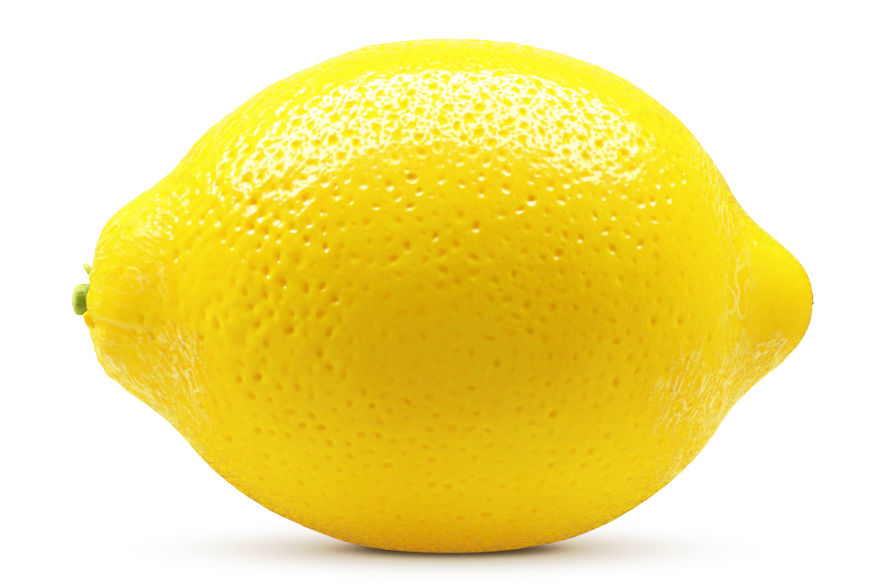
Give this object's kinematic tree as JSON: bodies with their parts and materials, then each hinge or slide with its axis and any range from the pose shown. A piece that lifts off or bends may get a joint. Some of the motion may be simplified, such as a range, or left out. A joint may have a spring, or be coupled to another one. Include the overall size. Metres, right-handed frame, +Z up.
{
  "type": "lemon",
  "caption": "Whole ripe lemon with a short cut stem stub, its green calyx and the dry style scar on the nipple, lying on a small flat spot.",
  "frame": {"origin": "centre of the bounding box in plan, on the plane of the flat spot the fruit rests on", "axes": "+X along the long axis from the stem to the nipple, +Z up, -Y the side seen in the picture"},
  "size_m": [0.0868, 0.0588, 0.0596],
  "materials": {
    "lemon_peel": "waxy gloss, pitted with oil glands",
    "calyx_green": "matt living tissue",
    "stem_green": "green, unlignified, satin",
    "scar_brown": "dry and matt"
  },
  "bodies": {
    "root": {"fruit": "lemon_peel", "calyx": "calyx_green", "stem": "stem_green", "style_scar": "scar_brown"}
  },
  "joints": []
}
